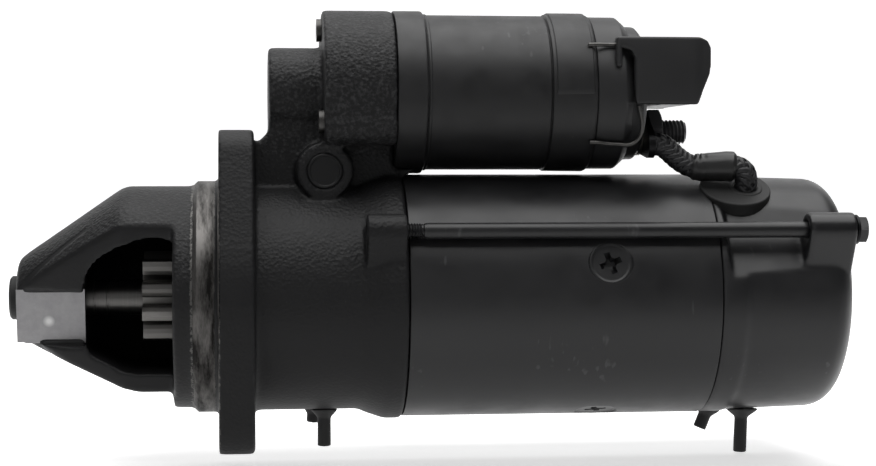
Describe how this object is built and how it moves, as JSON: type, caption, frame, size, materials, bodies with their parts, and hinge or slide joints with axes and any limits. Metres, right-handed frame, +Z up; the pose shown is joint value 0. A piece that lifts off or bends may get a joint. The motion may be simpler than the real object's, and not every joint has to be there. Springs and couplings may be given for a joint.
{
  "type": "starter motor",
  "caption": "Geared starter motor with a solenoid on top that slides the pinion out through its nose window; it bolts to a bell housing by a flange with a turned pilot.",
  "frame": {"origin": "on the motor's axis, in the plane of the flange's mounting face", "axes": "+X runs from the mounting face along the motor to its end cap, so the nose points to -X; +Z is up, where the solenoid sits; the nose window opens to -Y"},
  "size_m": [0.3214, 0.1185, 0.174],
  "materials": {
    "cast_black": "satin black paint over rough cast iron",
    "case_black": "semi-gloss black paint over smooth steel",
    "turned_steel": "turned or ground steel",
    "gear_steel": "hardened steel with a thin oil film",
    "zinc_steel": "zinc plated steel",
    "bronze": "sintered bronze, oiled",
    "copper": "bare copper",
    "winding": "enamelled copper wire in varnish",
    "lamination": "stacked electrical steel",
    "carbon": "pressed copper and carbon",
    "black_plastic": "moulded, fine grain",
    "black_rubber": "moulded, matt",
    "black_braid": "braided copper wire, dipped in black varnish"
  },
  "bodies": {
    "housing": {"drive_housing": "cast_black", "housing_barrel": "cast_black", "housing_tower": "cast_black", "nose_bush": "bronze", "nose_plug": "black_rubber", "pivot_pin": "case_black", "bearing_plate": "turned_steel", "plate_bush": "bronze", "ring_gear": "gear_steel", "gear_cover": "turned_steel", "yoke": "case_black", "pole_shoes": "lamination", "field_coils": "winding", "pole_screws": "case_black", "brush_plate": "zinc_steel", "brush_springs": "turned_steel", "end_cap": "case_black", "rear_bush": "bronze", "through_bolts": "case_black", "bolt_washers": "zinc_steel", "front_drain_tubes": "black_rubber", "rear_drain_tubes": "black_rubber", "lead_grommet": "black_rubber", "motor_lead": "black_braid", "lead_sleeve": "black_rubber", "lead_lug": "copper", "solenoid_flange": "case_black", "solenoid_case": "case_black", "solenoid_coil": "winding", "solenoid_core": "turned_steel", "solenoid_cap": "black_plastic", "solenoid_screws": "zinc_steel", "terminal_studs": "copper", "terminal_nuts": "zinc_steel", "terminal_washers": "zinc_steel", "signal_terminal": "copper", "terminal_cover": "black_plastic", "cover_clips": "zinc_steel", "return_spring": "turned_steel"},
    "armature": {"armature_shaft": "gear_steel", "armature_core": "lamination", "armature_windings": "winding", "commutator": "copper"},
    "output": {"output_shaft": "turned_steel", "planet_pins": "turned_steel"},
    "planet_a": {"planet_gear_a": "gear_steel"},
    "planet_b": {"planet_gear_b": "gear_steel"},
    "planet_c": {"planet_gear_c": "gear_steel"},
    "clutch": {"clutch_shell": "turned_steel", "clutch_rollers": "turned_steel", "drive_sleeve": "turned_steel"},
    "pinion": {"pinion": "gear_steel"},
    "lever": {"shift_lever": "zinc_steel"},
    "plunger": {"plunger": "turned_steel", "plunger_rod": "zinc_steel"},
    "contact": {"contact_disc": "copper"},
    "brush_a": {"brush_a": "carbon"},
    "brush_b": {"brush_b": "carbon"},
    "brush_c": {"brush_c": "carbon"},
    "brush_d": {"brush_d": "carbon"}
  },
  "joints": [
    {"name": "armature_spin", "type": "hinge", "parent": "housing", "child": "armature", "pos_m": [0.145, 0, 0], "axis": [1, 0, 0], "continuous": true},
    {"name": "carrier_spin", "type": "hinge", "parent": "housing", "child": "output", "pos_m": [0.055, 0, 0], "axis": [1, 0, 0], "continuous": true},
    {"name": "planet_a_spin", "type": "hinge", "parent": "output", "child": "planet_a", "pos_m": [0.072, 0.0234, 0], "axis": [1, 0, 0], "continuous": true},
    {"name": "planet_b_spin", "type": "hinge", "parent": "output", "child": "planet_b", "pos_m": [0.072, -0.0117, 0.02026], "axis": [1, 0, 0], "continuous": true},
    {"name": "planet_c_spin", "type": "hinge", "parent": "output", "child": "planet_c", "pos_m": [0.072, -0.0117, -0.02026], "axis": [1, 0, 0], "continuous": true},
    {"name": "lever_swing", "type": "hinge", "parent": "housing", "child": "lever", "pos_m": [0.0398, 0, 0.0484], "axis": [0, 1, 0], "range_deg": [0, 15.5], "stiffness_Nm_per_rad": 2, "springref_deg": -20.05},
    {"name": "drive_slide", "type": "slide", "parent": "output", "child": "clutch", "axis": [-1, 0, 0], "range_m": [0, 0.01265]},
    {"name": "plunger_slide", "type": "slide", "parent": "housing", "child": "plunger", "axis": [1, 0, 0], "range_m": [0, 0.00846], "deforming": ["return_spring"]},
    {"name": "contact_slide", "type": "slide", "parent": "housing", "child": "contact", "axis": [1, 0, 0], "range_m": [0, 0.00252]},
    {"name": "pinion_freewheel", "type": "hinge", "parent": "clutch", "child": "pinion", "pos_m": [-0.02, 0, 0], "axis": [1, 0, 0], "continuous": true},
    {"name": "brush_a_slide", "type": "slide", "parent": "housing", "child": "brush_a", "axis": [0, -0.454, 0.891], "range_m": [0, 0.002], "stiffness_N_per_m": 400, "springref_m": -0.03, "deforming": ["brush_springs"]},
    {"name": "brush_b_slide", "type": "slide", "parent": "housing", "child": "brush_b", "axis": [0, 0.891, 0.454], "range_m": [0, 0.002], "stiffness_N_per_m": 400, "springref_m": -0.03, "deforming": ["brush_springs"]},
    {"name": "brush_c_slide", "type": "slide", "parent": "housing", "child": "brush_c", "axis": [0, 0.454, -0.891], "range_m": [0, 0.002], "stiffness_N_per_m": 400, "springref_m": -0.03, "deforming": ["brush_springs"]},
    {"name": "brush_d_slide", "type": "slide", "parent": "housing", "child": "brush_d", "axis": [0, -0.891, -0.454], "range_m": [0, 0.002], "stiffness_N_per_m": 400, "springref_m": -0.03, "deforming": ["brush_springs"]}
  ],
  "couplings": [
    {"joint": "carrier_spin", "follows": "armature_spin", "ratio": 0.22222},
    {"joint": "planet_a_spin", "follows": "armature_spin", "ratio": -0.62222},
    {"joint": "planet_b_spin", "follows": "armature_spin", "ratio": -0.62222},
    {"joint": "planet_c_spin", "follows": "armature_spin", "ratio": -0.62222},
    {"joint": "drive_slide", "follows": "lever_swing", "m_per_rad": 0.0467},
    {"joint": "plunger_slide", "follows": "lever_swing", "m_per_rad": 0.0312},
    {"joint": "contact_slide", "follows": "lever_swing", "m_per_rad": 0.0092}
  ]
}
